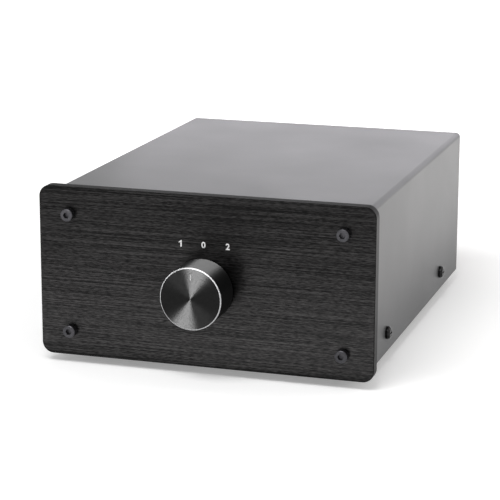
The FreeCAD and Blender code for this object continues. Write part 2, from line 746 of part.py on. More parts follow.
def selector_knob():
    """Turned knob with a bevelled ring, an index mark and a set screw's hole below."""
    radius = "knob_diameter / 2"
    bore = "(shaft_diameter / 2 + knob_fit)"
    body = turned(
        "selector_knob",
        [
            ("knob_recess / 2", 0),
            (f"{radius} - knob_edge_break", 0),
            (radius, "knob_edge_break"),
            (radius, "knob_length - knob_bevel"),
            (f"{radius} - knob_bevel", "knob_length"),
            (0, "knob_length"),
            (0, "knob_bore_depth"),
            (bore, "knob_bore_depth"),
            (bore, "knob_recess_depth"),
            ("knob_recess / 2", "knob_recess_depth"),
        ],
    )
    mark = new_sketch(body, "XY_Plane", "knob_length")
    draw_rectangle(mark, 0, f"{radius} - mark_inset - mark_length / 2", "mark_width", "mark_length")
    pocket(body, mark, "mark_depth")
    side_hole = new_sketch(body, "XZ_Plane")
    draw_circle(side_hole, 0, "set_screw_place", "set_screw_diameter + 2 * thread_clearance")
    pocket(body, side_hole, "knob_diameter", backwards=True)
    return place(node(body, "selector_knob"), y="knob_back_y", z="knob_z", turn=TO_FRONT)


def knob_set_screw():
    """Grub screw that bears on the shaft's flat, from below at rest."""
    body = turned(
        "knob_set_screw",
        [
            (0, "shaft_flat_height"),
            ("set_screw_diameter / 2", "shaft_flat_height"),
            ("set_screw_diameter / 2", "shaft_flat_height + set_screw_length"),
            (0, "shaft_flat_height + set_screw_length"),
        ],
    )
    socket = new_sketch(body, "XY_Plane", "shaft_flat_height + set_screw_length")
    draw_hexagon(socket, "set_screw_socket")
    pocket(body, socket, "set_screw_socket_depth")
    return place(node(body, "knob_set_screw"), y="set_screw_y", z="knob_z", turn=DOWN)


def switch_shaft():
    """Round shaft with a flat, a clip groove and a flat tang behind; its origin is the switch plate."""
    groove_back = "(bushing_length + clip_gap)"
    shaft = "shaft_diameter / 2"
    groove = "groove_diameter / 2"
    body = turned(
        "switch_shaft",
        [
            (0, "-(index_plate_y - plate_y)"),
            (shaft, "-(index_plate_y - plate_y)"),
            (shaft, groove_back),
            (groove, groove_back),
            (groove, f"{groove_back} + groove_width"),
            (shaft, f"{groove_back} + groove_width"),
            (shaft, "shaft_front"),
            (0, "shaft_front"),
        ],
    )
    tang = new_sketch(body, "XY_Plane", "-(index_plate_y - plate_y)")
    draw_rectangle(tang, 0, 0, "tang_width", "tang_thickness")
    pad(body, tang, "tang_back - (index_plate_y - plate_y)", backwards=True)
    flat = new_sketch(body, "XY_Plane", "shaft_front - shaft_flat_length")
    draw_rectangle(
        flat, 0, "-shaft_flat_height - shaft_diameter / 2", "2 * shaft_diameter", "shaft_diameter"
    )
    pocket(body, flat, "2 * shaft_flat_length", backwards=True)
    return place(node(body, "switch_shaft"), y="plate_y", z="knob_z", turn=TO_FRONT)


def shaft_clip():
    """Open spring ring in the shaft's groove, in front of the bushing."""
    body = new_body("shaft_clip")
    ring = new_sketch(body, "XY_Plane")
    draw_circle(ring, 0, 0, "clip_diameter")
    draw_circle(ring, 0, 0, "groove_diameter + 2 * shaft_play")
    pad(body, ring, "clip_thickness")
    gap = new_sketch(body, "XY_Plane")
    draw_rectangle(gap, 0, "clip_diameter / 2", "groove_diameter * 2 / 3", "clip_diameter")
    pocket(body, gap)
    front = "plate_y - bushing_length - clip_gap"
    return place(node(body, "shaft_clip"), y=front, z="knob_z", turn=TO_FRONT)


def detent_wheel():
    """Notched wheel on the shaft, between the switch plates."""
    body = new_body("detent_wheel")
    disc = new_sketch(body, "XZ_Plane")
    draw_circle(disc, 0, 0, "wheel_diameter")
    draw_circle(disc, 0, 0, "shaft_diameter")
    pad(body, disc, "wheel_thickness", both_ways=True)
    notch = new_sketch(body, "XZ_Plane")
    draw_circle(notch, 0, "ball_seat", "ball_diameter + 2 * ball_gap")
    cut = pocket(body, notch)
    pattern = body.newObject("PartDesign::PolarPattern", "wheel_notches")
    pattern.Originals = [cut]
    pattern.Axis = (notch, ["N_Axis"])
    pattern.Angle = 360
    pattern.setExpression("Occurrences", formula("wheel_notches"))
    body.Tip = pattern
    return place(node(body, "detent_wheel"), y="detent_middle_y", z="knob_z")


def switch_rotors():
    """Two insulating discs that the shaft's tang turns inside the wafers."""
    rotor = new_body("rotor")
    disc = new_sketch(rotor)
    draw_circle(disc, 0, 0, "wafer_bore - 2 * rotor_play")
    draw_rectangle(disc, 0, 0, "tang_width + 2 * tang_play", "tang_thickness + 2 * tang_play")
    pad(rotor, disc, "rotor_thickness", backwards=True)
    set_of("switch_rotors", [(rotor, (0, y, "knob_z", UPRIGHT)) for y in ("wafer_1_y", "wafer_2_y")])


def ring_sector(name, inner, outer, first_angle, sweep):
    """A flat piece of a ring, from an angle on, counter-clockwise as seen from the front."""
    rim = doc.addObject("Part::Cylinder", f"{name}_rim")
    rim.setExpression("Radius", formula(outer))
    rim.setExpression("Height", formula("blade_thickness"))
    rim.setExpression("Angle", formula(sweep))
    rim.setExpression("Placement.Rotation.Angle", formula(first_angle))
    core = doc.addObject("Part::Cylinder", f"{name}_core")
    core.setExpression("Radius", formula(inner))
    core.setExpression("Height", formula("blade_thickness"))
    sector = doc.addObject("Part::Cut", name)
    sector.Base = rim
    sector.Tool = core
    return sector


def rotor_blades():
    """Conductors on the rotors: a ring under the common terminal and a finger that picks a position."""
    start = "-finger_angle / 2"
    finger = ring_sector("finger", "blade_inner", "blade_finger", start, "finger_angle")
    ring = ring_sector("ring", "blade_inner", "blade_ring", start, "3 * station_angle + finger_angle")
    blade = doc.addObject("Part::Fuse", "blade")
    blade.Base = finger
    blade.Tool = ring
    spots = []
    for wafer, turn in WAFERS:
        for half_turn in (0, 180):
            facing = station_turn(turn + half_turn) * TO_FRONT
            spots.append((blade, (0, f"{wafer} + blade_y", "knob_z", facing)))
    set_of("rotor_blades", spots)


# Fixed parts of the switch


WAFERS = (("wafer_1_y", 0), ("wafer_2_y", 90))
COMMON, POSITION_1, POSITION_2 = 2, 1, -1


def station_turn(angle):
    """Turn about the switch axis, counter-clockwise as seen from the front, in degrees."""
    return FreeCAD.Rotation(FreeCAD.Vector(0, -1, 0), angle)


def switch_plate(name, thickness):
    """Plate of the switch with two holes for the tie screws, growing backwards."""
    body = new_body(name)
    sketch = new_sketch(body)
    draw_rectangle(sketch, 0, 0, "plate_width", "plate_height")
    pad(body, sketch, thickness, backwards=True)
    round_edges(body, "plate_corner", lambda edge: runs_along(edge, ALONG_Y))
    return body


def tie_holes(body, diameter):
    """Two holes for the tie screws."""
    sketch = new_sketch(body)
    draw_circle(sketch, "tie_screw_x", 0, diameter)
    draw_circle(sketch, "-tie_screw_x", 0, diameter)
    pocket(body, sketch)


def switch_frame():
    """Front plate of the switch with its threaded bushing and locating pin."""
    body = switch_plate("switch_frame", "switch_plate")
    neck = new_sketch(body)
    draw_circle(neck, 0, 0, "bushing_diameter")
    pad(body, neck, "bushing_length")
    pin = new_sketch(body)
    draw_circle(pin, 0, "-locating_pin_drop", "locating_pin")
    pad(body, pin, "chassis_sheet")
    bore = new_sketch(body)
    draw_circle(bore, 0, 0, "shaft_diameter + 2 * shaft_play")
    pocket(body, bore)
    tie_holes(body, "screw_bore")
    return place(node(body, "switch_frame"), y="plate_y", z="knob_z")


def switch_nut_and_washer():
    """Nut on the bushing and the washer under it, inside the panel's opening."""
    bore = "bushing_diameter + 2 * thread_clearance"
    nut = hex_nut("switch_nut", "switch_nut", "switch_nut_height", bore)
    place(node(nut, "switch_nut"), y="panel_back_y - lock_washer_height", z="knob_z", turn=TO_FRONT)
    washer = new_body("switch_lock_washer")
    ring = new_sketch(washer, "XY_Plane")
    draw_circle(ring, 0, 0, "lock_washer")
    draw_circle(ring, 0, 0, "bushing_diameter + 2 * bushing_hole_clearance")
    pad(washer, ring, "lock_washer_height")
    place(node(washer, "switch_lock_washer"), y="panel_back_y", z="knob_z", turn=TO_FRONT)


def switch_index_plate():
    """Second plate, behind the detent."""
    body = switch_plate("switch_index_plate", "index_plate")
    bore = new_sketch(body)
    draw_circle(bore, 0, 0, "shaft_diameter + 2 * plate_hole_play")
    pocket(body, bore)
    tie_holes(body, "screw_hole")
    return place(node(body, "switch_index_plate"), y="index_plate_y", z="knob_z")


def detent_guide():
    """Block between the plates that holds the detent ball and its spring."""
    body = new_body("detent_guide")
    block = new_sketch(body)
    low = "(wheel_diameter / 2 + guide_gap)"
    draw_rectangle(block, 0, f"({low} + guide_top) / 2", "guide_width", f"guide_top - {low}")
    pad(body, block, "detent_space", both_ways=True)
    bore = new_sketch(body, "XY_Plane")
    draw_circle(bore, 0, 0, "ball_diameter + 2 * guide_play")
    pocket(body, bore, "guide_top - guide_roof", backwards=True)
    return place(node(body, "detent_guide"), y="detent_middle_y", z="knob_z")


def detent_ball():
    """Steel ball, held here on a crest's height of the wheel."""
    ball = doc.addObject("Part::Sphere", "detent_ball")
    ball.setExpression("Radius", formula("ball_diameter / 2"))
    return place(node(ball, "detent_ball"), y="detent_middle_y", z="knob_z + ball_crest")


def detent_spring():
    """Coil spring between the ball and the guide's roof."""
    helix = doc.addObject("Part::Helix", "spring_line")
    helix.setExpression("Radius", formula("spring_radius"))
    helix.setExpression("Height", formula("spring_head - spring_foot"))
    helix.setExpression("Pitch", formula("(spring_head - spring_foot) / spring_turns"))
    section = doc.addObject("Part::Circle", "spring_section")
    section.setExpression("Radius", formula("spring_wire / 2"))
    place(section, x="spring_radius", turn=TO_FRONT)
    coil = doc.addObject("Part::Sweep", "detent_spring")
    coil.Sections = [section]
    coil.Spine = (helix, [])
    coil.Solid = True
    coil.Frenet = True
    return place(node(coil, "detent_spring"), y="detent_middle_y", z="knob_z + spring_foot")


def sleeve(name, length):
    """Spacer sleeve on a tie screw, growing backwards."""
    body = new_body(name)
    ring = new_sketch(body)
    draw_circle(ring, 0, 0, "sleeve_diameter")
    draw_circle(ring, 0, 0, "screw_hole")
    pad(body, ring, length, backwards=True)
    return body


def wafer_stack():
    """Stator wafers with their terminals, the sleeves between them and the two tie screws."""
    wafer = new_body("wafer")
    ears = new_sketch(wafer)
    draw_rectangle(ears, 0, 0, "2 * tie_screw_x + wafer_ear", "wafer_ear")
    pad(wafer, ears, "wafer_thickness", backwards=True)
    disc = new_sketch(wafer)
    draw_circle(disc, 0, 0, "wafer_diameter")
    pad(wafer, disc, "wafer_thickness", backwards=True)
    opening = new_sketch(wafer)
    draw_circle(opening, 0, 0, "wafer_bore")
    pocket(wafer, opening)
    tie_holes(wafer, "screw_hole")
    set_of("switch_wafers", [(wafer, (0, y, "knob_z", UPRIGHT)) for y, _ in WAFERS])

    short = sleeve("short_sleeve", "detent_space")
    long = sleeve("long_sleeve", "wafer_gap")
    runs = ((short, "detent_y"), (long, "sleeve_1_y"), (long, "sleeve_2_y"))
    ties = ("tie_screw_x", "-tie_screw_x")
    set_of("switch_spacers", [(piece, (x, y, "knob_z", UPRIGHT)) for x in ties for piece, y in runs])
    tie_screw = pan_screw("tie_screw", "(switch_end_y - plate_y - tie_tail)")
    set_of("switch_tie_screws", [(tie_screw, (x, "switch_end_y", "knob_z", TO_BACK)) for x in ties])


def terminal(name, tip):
    """Flat soldering terminal along +X, growing backwards."""
    body = new_body(name)
    strip = new_sketch(body)
    draw_rectangle(strip, f"({tip} + terminal_reach) / 2", 0, f"terminal_reach - {tip}", "terminal_width")
    draw_circle(strip, "wire_radius_place", 0, "terminal_eye")
    pad(body, strip, "terminal_thickness", backwards=True)
    return body


def switch_terminals():
    """Six terminals on each wafer: a common and two positions for each of its two poles."""
    forms = {
        COMMON: terminal("common_terminal", "common_tip"),
        POSITION_1: terminal("position_terminal", "terminal_tip"),
    }
    forms[POSITION_2] = forms[POSITION_1]
    spots = []
    for wafer, turn in WAFERS:
        for half_turn in (0, 180):
            for station, form in forms.items():
                angle = turn + half_turn + station * value_of("station_angle")
                spots.append((form, (0, f"{wafer} + wafer_thickness", "knob_z", station_turn(angle))))
    set_of("switch_terminals", spots)


# Binding posts


GROUPS = {"amp_1": "group_pitch", "speaker": "0", "amp_2": "-group_pitch"}
ROWS = {"left": "post_row_high", "right": "post_row_low"}
POLES = {"plus": "-post_pitch / 2", "minus": "post_pitch / 2"}
POSTS = {
    (group, row, pole): (f"{GROUPS[group]} + {POLES[pole]}", ROWS[row])
    for group in GROUPS
    for row in ROWS
    for pole in POLES
}


def post_set(label, masters, posts):
    """A node of copies of master pieces, each at its y, at each of these posts."""
    spots = []
    for master, y, turn in masters:
        for post in posts:
            x, z = POSTS[post]
            spots.append((master, (x, y, z, turn)))
    return set_of(label, spots)


def binding_post():
    """Threaded metal post: stud inside, flange, thread with a cross hole and a plug socket outside."""
    stud = "stud_diameter / 2"
    flange = "flange_diameter / 2"
    seat = "(collar_height - flange_thickness)"
    thread = "post_diameter / 2"
    socket = "socket_diameter / 2"
    body = turned(
        "binding_post",
        [
            (0, "-stud_end"),
            (stud, "-stud_end"),
            (stud, seat),
            (flange, seat),
            (flange, "collar_height"),
            (thread, "collar_height"),
            (thread, "post_end - post_bevel"),
            (f"{thread} - post_bevel", "post_end"),
            (f"{socket} + post_bevel", "post_end"),
            (socket, "post_end - post_bevel"),
            (socket, "post_end - socket_depth"),
            (0, "post_end - socket_depth"),
        ],
    )
    cross = new_sketch(body)
    draw_circle(cross, 0, "collar_height + wire_hole_place", "wire_hole")
    pocket(body, cross)
    return body


def post_collar():
    """Outer insulator with a spigot in the rear wall and a seat for the post's flange."""
    bore = "(stud_diameter / 2 + stud_clearance)"
    seat = "collar_height - flange_thickness"
    recess = "(flange_diameter / 2 + stud_clearance)"
    return turned(
        "post_collar",
        [
            (bore, "-collar_spigot_length"),
            ("collar_spigot / 2", "-collar_spigot_length"),
            ("collar_spigot / 2", 0),
            ("collar_diameter / 2", 0),
            ("collar_diameter / 2", "collar_height - collar_bevel"),
            ("collar_diameter / 2 - collar_bevel", "collar_height"),
            (recess, "collar_height"),
            (recess, seat),
            (bore, seat),
        ],
    )


def flat_ring(name, outer, inner, height, start=0):
    """A plain washer or insulator, growing along its own axis."""
    return turned(
        name,
        [
            (f"({inner}) / 2", start),
            (f"{outer} / 2", start),
            (f"{outer} / 2", f"{start} + {height}"),
            (f"({inner}) / 2", f"{start} + {height}"),
        ],
    )


def screw_cap():
    """Fluted cap with a bore right through, so that a plug reaches the post's socket."""
    foot = "(collar_height + clamp_washer_height)"
    rim = "cap_diameter / 2"
    bore = "(post_diameter / 2 + cap_play)"
    body = turned(
        "screw_cap",
        [
            (bore, foot),
            (rim, foot),
            (rim, f"{foot} + cap_length - cap_bevel"),
            (f"{rim} - cap_bevel", f"{foot} + cap_length"),
            (bore, f"{foot} + cap_length"),
        ],
    )
    groove = new_sketch(body, "XY_Plane", f"{foot} + cap_foot")
    draw_circle(groove, f"{rim} + flute_diameter / 2 - flute_depth", 0, "flute_diameter")
    cut = pocket(body, groove, "cap_length", backwards=True)
    pattern = body.newObject("PartDesign::PolarPattern", "cap_flutes")
    pattern.Originals = [cut]
    pattern.Axis = (groove, ["N_Axis"])
    pattern.Angle = 360
    pattern.setExpression("Occurrences", formula("flutes"))
    body.Tip = pattern
    return body


def soldering_lug():
    """Ring with a tail that hangs below the stud, growing to the front."""
    body = new_body("soldering_lug")
    ring = new_sketch(body)
    draw_circle(ring, 0, 0, "lug_ring")
    pad(body, ring, "lug_thickness", backwards=True)
    tail = new_sketch(body)
    draw_rectangle(tail, 0, "-lug_tail / 2", "lug_width", "lug_tail")
    pad(body, tail, "lug_thickness", backwards=True)
    holes = new_sketch(body)
    draw_circle(holes, 0, 0, "stud_diameter + 2 * stud_clearance")
    draw_circle(holes, 0, "-lug_wire_place", "terminal_eye")
    pocket(body, holes)
    return body


def binding_posts():
    """All twelve posts: fixed pieces in shared nodes, each washer and cap in a node of its own."""
    every = list(POSTS)
    plus = [post for post in every if post[2] == "plus"]
    minus = [post for post in every if post[2] == "minus"]
    collar = post_collar()
    stud_hole = "stud_diameter + 2 * stud_clearance"
    insulator = flat_ring("post_insulator", "insulator_diameter", stud_hole, "insulator_height")
    nut = hex_nut("post_nut", "post_nut", "post_nut_height", "stud_diameter + 2 * thread_clearance")
    post_set("post_shafts", [(binding_post(), "rear_face_y", TO_BACK)], every)
    post_set("post_collars_red", [(collar, "rear_face_y", TO_BACK)], plus)
    post_set("post_collars_black", [(collar, "rear_face_y", TO_BACK)], minus)
    post_set("post_insulators", [(insulator, "insulator_y", TO_BACK)], every)
    post_set("post_nuts", [(nut, "nut_1_y", TO_BACK), (nut, "nut_2_y", TO_BACK)], every)
    post_set("soldering_lugs", [(soldering_lug(), "lug_y", UPRIGHT)], every)
    cap_bore = "post_diameter + 2 * cap_play"
    washer = flat_ring(
        "clamp_washer", "clamp_washer_diameter", cap_bore, "clamp_washer_height", "collar_height"
    )
    cap = screw_cap()
    for group, row, pole in every:
        x, z = POSTS[group, row, pole]
        spot = (x, "rear_face_y", z, TO_BACK)
        node(link_to(washer, spot), f"washer_{group}_{row}_{pole}")
        node(link_to(cap, spot), f"cap_{group}_{row}_{pole}")


# Internal wires


# Each pole of the switch: which wafer, which half of it, and the post row and pole that it serves
SWITCH_POLES = [
    (0, 0, "left", "plus"),
    (0, 180, "left", "minus"),
    (1, 0, "right", "plus"),
    (1, 180, "right", "minus"),
]
WAFER_NAMES = ("front", "rear")
STATION_GROUPS = {COMMON: "speaker", POSITION_1: "amp_1", POSITION_2: "amp_2"}
ARC_SHARE = 0.45


def rounded_line(points):
    """A wire path of straight runs joined by tangent arcs, as large as the runs allow."""
    edges = []
    start = points[0]
    for before, corner, after in zip(points, points[1:], points[2:]):
        towards = (corner - before).normalize()
        away = (after - corner).normalize()
        turn = towards.getAngle(away)
        reach = ARC_SHARE * min((corner - before).Length, (after - corner).Length)
        first = corner - towards * reach
        last = corner + away * reach
        edges.append(Part.LineSegment(start, first).toShape())
        middle = (first + last) / 2 + bulge(towards, away, reach, turn)
        edges.append(Part.Arc(first, middle, last).toShape())
        start = last
    edges.append(Part.LineSegment(start, points[-1]).toShape())
    return Part.Wire(edges)


def bulge(towards, away, reach, turn):
    """From the middle of an arc's chord to the middle of the arc."""
    outwards = (towards - away).normalize()
    return outwards * (reach * math.cos(turn / 2) * math.tan(turn / 4))


def wire_points(wafer_number, angle, post):
    """Route of one wire: back from its terminal, through the open case, and onto its lug."""
    wafer = WAFERS[wafer_number][0]
    group, row, _ = post
    radial = FreeCAD.Vector(math.cos(math.radians(angle)), 0, math.sin(math.radians(angle)))
    terminal_back = value_of(f"{wafer} + wafer_thickness + terminal_thickness")
    axis = FreeCAD.Vector(0, terminal_back, value_of("knob_z"))
    x, z = (value_of(text) for text in POSTS[post])
    end = FreeCAD.Vector(x, value_of("lug_y"), z - value_of("lug_wire_place"))
    points = [axis + radial * value_of("wire_radius_place")]
    if WAFER_NAMES[wafer_number] == "front":
        lead = ALONG_Y * value_of("wire_lead")
        points.append(points[-1] + lead)
        points.append(points[-1] + lead + radial * value_of("wire_spread"))
    points.append(points[-1] + ALONG_Y * value_of(f"{WAFER_NAMES[wafer_number]}_{group}_run"))
    points.append(end - ALONG_Y * value_of(f"{row}_landing"))
    points.append(end)
    return points


def tube(points):
    """A round wire along a rounded line."""
    path = rounded_line(points)
    radius = value_of("wire_diameter") / 2
    ring = Part.Wire(Part.makeCircle(radius, points[0], points[1] - points[0]))
    solid = path.makePipeShell([ring], True, False)
    expected = math.pi * radius**2 * path.Length
    if abs(solid.Volume - expected) > expected / 100:
        raise RuntimeError("a wire's volume isn't its section times its length")
    return solid


def internal_wires():
    """Twelve wires between the switch and the posts, red for plus and black for minus."""
    solids = {"plus": [], "minus": []}
    for wafer_number, half_turn, row, pole in SWITCH_POLES:
        turn = WAFERS[wafer_number][1]
        for station, group in STATION_GROUPS.items():
            angle = turn + half_turn + station * value_of("station_angle")
            points = wire_points(wafer_number, angle, (group, row, pole))
            solids[pole].append(tube(points))
    for label, pole in (("wires_red", "plus"), ("wires_black", "minus")):
        feature = doc.addObject("Part::Feature", label)
        feature.Shape = Part.makeCompound(solids[pole])
        node(feature, label)


def check_and_export():
    """Stop at any failed object, empty cut or unsound shape, then write one file for each node."""
    doc.recompute()
    for item in doc.Objects:
        if "Invalid" in item.State or "Error" in item.State:
            raise RuntimeError(f"{item.Name} failed: {item.State}")
        if item.TypeId in ("PartDesign::Pocket", "PartDesign::Groove"):
            if item.BaseFeature.Shape.Volume - item.Shape.Volume < TINY:
                raise RuntimeError(f"{item.Name} cuts nothing")
    shapes = {piece.Label: Part.getShape(piece) for piece in nodes}
    if len(shapes) != len(nodes):
        raise RuntimeError("two nodes share a name")
    for label, shape in shapes.items():
        if shape.isNull() or not shape.isValid() or not shape.Solids:
            raise RuntimeError(f"{label} has no sound shape")
    os.makedirs("parts", exist_ok=True)
    for label, shape in shapes.items():
        shape.exportStep(f"parts/{label}.step")
    print(len(shapes), "nodes,", sum(len(shape.Solids) for shape in shapes.values()), "solids")


front_panel()
chassis()
top_cover()
case_fasteners()
selector_knob()
knob_set_screw()
switch_shaft()
shaft_clip()
detent_wheel()
switch_rotors()
rotor_blades()
switch_frame()
switch_nut_and_washer()
switch_index_plate()
detent_guide()
detent_ball()
detent_spring()
wafer_stack()
switch_terminals()
binding_posts()
internal_wires()
check_and_export()
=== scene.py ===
"""Looks of the speaker selector switch: materials, printed numbers, floor, lamps and camera."""

import math

import bpy
from mathutils import Matrix, Vector

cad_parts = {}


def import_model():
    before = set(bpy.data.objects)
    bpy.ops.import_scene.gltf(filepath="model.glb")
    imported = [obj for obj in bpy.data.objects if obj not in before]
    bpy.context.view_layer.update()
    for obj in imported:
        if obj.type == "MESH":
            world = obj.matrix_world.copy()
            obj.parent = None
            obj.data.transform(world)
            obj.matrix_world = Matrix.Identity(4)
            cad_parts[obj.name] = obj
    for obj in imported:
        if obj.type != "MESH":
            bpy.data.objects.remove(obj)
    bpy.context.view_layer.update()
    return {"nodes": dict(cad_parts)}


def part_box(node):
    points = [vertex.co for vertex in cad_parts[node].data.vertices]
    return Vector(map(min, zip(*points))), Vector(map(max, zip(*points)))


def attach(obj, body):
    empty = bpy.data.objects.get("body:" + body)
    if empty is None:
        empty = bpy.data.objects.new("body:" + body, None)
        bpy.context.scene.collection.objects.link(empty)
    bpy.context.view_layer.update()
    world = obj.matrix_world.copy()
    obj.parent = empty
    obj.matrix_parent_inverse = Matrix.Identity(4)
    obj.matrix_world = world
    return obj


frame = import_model()
nodes = frame["nodes"]

MM = 0.001

# The middle part of a noise's values, which seldom leave it, for one noise and for a mix of two.
NOISE_BAND = (0.3, 0.7)
MIX_BAND = (0.35, 0.65)
UNIT = (0.0, 1.0)


# Node tree helpers


class Tree:
    """A material's nodes, with short ways to add the usual ones."""

    def __init__(self, name):
        self.material = bpy.data.materials.new(name)
        self.material.use_nodes = True
        self.nodes = self.material.node_tree.nodes
        self.links = self.material.node_tree.links
        self.shader = self.nodes["Principled BSDF"]
        self.output = self.nodes["Material Output"]
        self.place = self.add("ShaderNodeTexCoord").outputs["Object"]

    def add(self, kind, **settings):
        """A node with its properties set."""
        item = self.nodes.new(kind)
        for key, value in settings.items():
            setattr(item, key, value)
        return item

    def feed(self, socket, value):
        """Link a socket, or set it to a constant."""
        if isinstance(value, bpy.types.NodeSocket):
            self.links.new(value, socket)
        else:
            socket.default_value = value

    def math(self, operation, *values, clamp=False):
        """A Math node's result."""
        item = self.add("ShaderNodeMath", operation=operation, use_clamp=clamp)
        for socket, value in zip(item.inputs, values):
            self.feed(socket, value)
        return item.outputs[0]

    def every(self, *tests):
        """1 where all of these tests are 1."""
        result = tests[0]
        for test in tests[1:]:
            result = self.math("MULTIPLY", result, test)
        return result

    def blend(self, first, second, share):
        """Two noises added, the first with this share and the second with the rest."""
        return self.math(
            "ADD",
            self.math("MULTIPLY", first, share),
            self.math("MULTIPLY", second, 1.0 - share),
        )

    def split(self, source=None):
        """The three parts of a vector, the object's coordinates where none is given."""
        item = self.add("ShaderNodeSeparateXYZ")
        self.feed(item.inputs[0], self.place if source is None else source)
        return item.outputs

    def noise(self, pitch, detail=2.0, rough=0.5):
        """Noise of 0 to 1, with its cells per metre along each axis or along all of them."""
        factors = pitch if isinstance(pitch, tuple) else (pitch,) * 3
        stretch = self.add("ShaderNodeVectorMath", operation="MULTIPLY")
        self.feed(stretch.inputs[0], self.place)
        stretch.inputs[1].default_value = factors
        item = self.add("ShaderNodeTexNoise")
        self.feed(item.inputs["Vector"], stretch.outputs[0])
        item.inputs["Scale"].default_value = 1.0
        item.inputs["Detail"].default_value = detail
        item.inputs["Roughness"].default_value = rough
        return item.outputs["Fac"]

    def spread(self, value, old, new):
        """Map a range to another, clamped."""
        item = self.add("ShaderNodeMapRange", clamp=True)
        for socket, number in zip(item.inputs, (value, *old, *new)):
            self.feed(socket, number)
        return item.outputs[0]

    def between(self, factor, first, second):
        """Mix two colours."""
        item = self.add("ShaderNodeMix", data_type="RGBA")
        self.feed(item.inputs["Factor"], factor)
        self.feed(item.inputs["A"], first)
        self.feed(item.inputs["B"], second)
        return item.outputs["Result"]

    def bump(self, height, distance, strength):
        """Bump from a height of 0 to 1, as deep as the distance in metres."""
        item = self.add("ShaderNodeBump")
        item.inputs["Strength"].default_value = strength
        item.inputs["Distance"].default_value = distance
        self.feed(item.inputs["Height"], height)
        self.links.new(item.outputs["Normal"], self.shader.inputs["Normal"])

    def finish(self, **values):
        """Feed the shader's sockets by name."""
        for key, value in values.items():
            self.feed(self.shader.inputs[key.replace("_", " ").title().replace("Ior", "IOR")], value)
        return self.material


def rgb(red, green=None, blue=None):
    """A colour, or a grey from one number."""
    if green is None:
        return (red, red, red, 1.0)
    return (red, green, blue, 1.0)


# Materials


def brushed_panel():
    """Black anodised aluminium, brushed from side to side, with rougher edges."""
    tree = Tree("brushed_black_anodised")
    long_lines = tree.noise((14.0, 3300.0, 3300.0), rough=0.6)
    short_lines = tree.noise((420.0, 3600.0, 3600.0), rough=0.6)
    clouds = tree.noise((9.0, 60.0, 60.0))
    streaks = tree.blend(long_lines, short_lines, 0.5)
    shade = tree.spread(streaks, (0.44, 0.66), UNIT)
    line_roughness = tree.spread(streaks, NOISE_BAND, (0.27, 0.35))
    cloud_roughness = tree.spread(clouds, UNIT, (-0.03, 0.03))
    normal = tree.add("ShaderNodeNewGeometry").outputs["Normal"]
    facing = tree.math("ABSOLUTE", tree.split(normal)[1])
    edge = tree.math("LESS_THAN", facing, 0.9)
    edge_roughness = tree.math("MULTIPLY", edge, 0.25)
    roughness = tree.math("ADD", tree.math("ADD", line_roughness, cloud_roughness), edge_roughness)
    tree.bump(streaks, 0.03 * MM, 0.5)
    along = tree.add("ShaderNodeVectorMath", operation="CROSS_PRODUCT")
    tree.feed(along.inputs[0], normal)
    along.inputs[1].default_value = (0.0, 1.0, 1.0)
    tree.links.new(along.outputs[0], tree.shader.inputs["Tangent"])
    return tree.finish(
        base_color=tree.between(shade, rgb(0.006), rgb(0.031, 0.030, 0.030)),
        metallic=1.0,
        roughness=roughness,
        anisotropic=0.7,
        anisotropic_rotation=0.25,
    )


def satin_paint():
    """Satin grey paint on sheet steel, with a very fine texture."""
    tree = Tree("satin_grey_paint")
    grain = tree.noise(2600.0, rough=0.6)
    clouds = tree.noise(22.0)
    shade = tree.spread(grain, NOISE_BAND, UNIT)
    grain_roughness = tree.spread(grain, NOISE_BAND, (0.38, 0.44))
    cloud_roughness = tree.spread(clouds, NOISE_BAND, (-0.02, 0.02))
    tree.bump(grain, 0.02 * MM, 0.35)
    return tree.finish(
        base_color=tree.between(shade, rgb(0.060, 0.061, 0.063), rgb(0.078, 0.079, 0.081)),
        metallic=0.0,
        roughness=tree.math("ADD", grain_roughness, cloud_roughness),
        specular_ior_level=0.30,
    )


